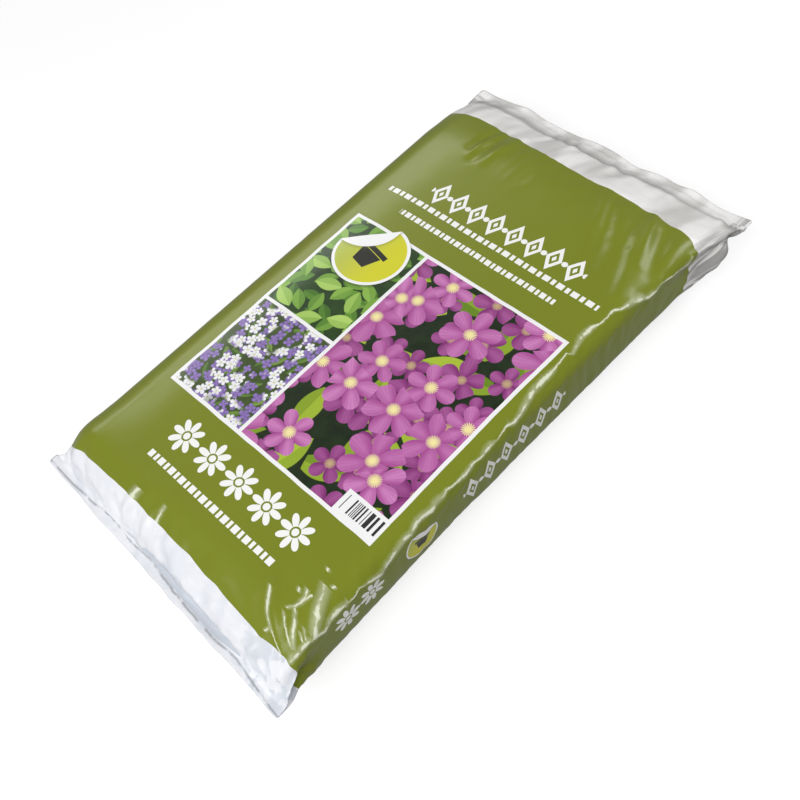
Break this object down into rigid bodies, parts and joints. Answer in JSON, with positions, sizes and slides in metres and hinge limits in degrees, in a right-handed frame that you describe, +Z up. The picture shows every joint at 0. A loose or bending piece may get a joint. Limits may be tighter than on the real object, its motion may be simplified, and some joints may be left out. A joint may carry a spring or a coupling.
{
  "type": "compost bag",
  "caption": "Filled compost bag lying on its back: a plump printed film tube with gathered bare ends, flat wavy welds and corners that stand out like ears.",
  "frame": {"origin": "on the ground, under the middle of the bag", "axes": "+X to the right of the print, +Y along the bag to the top of the print, +Z up out of the printed front"},
  "size_m": [0.472, 0.8665, 0.1235],
  "materials": {
    "printed_film": "semi-gloss printed polyethylene film with bare white ends"
  },
  "bodies": {
    "root": {"compost_bag": "printed_film"}
  },
  "joints": []
}
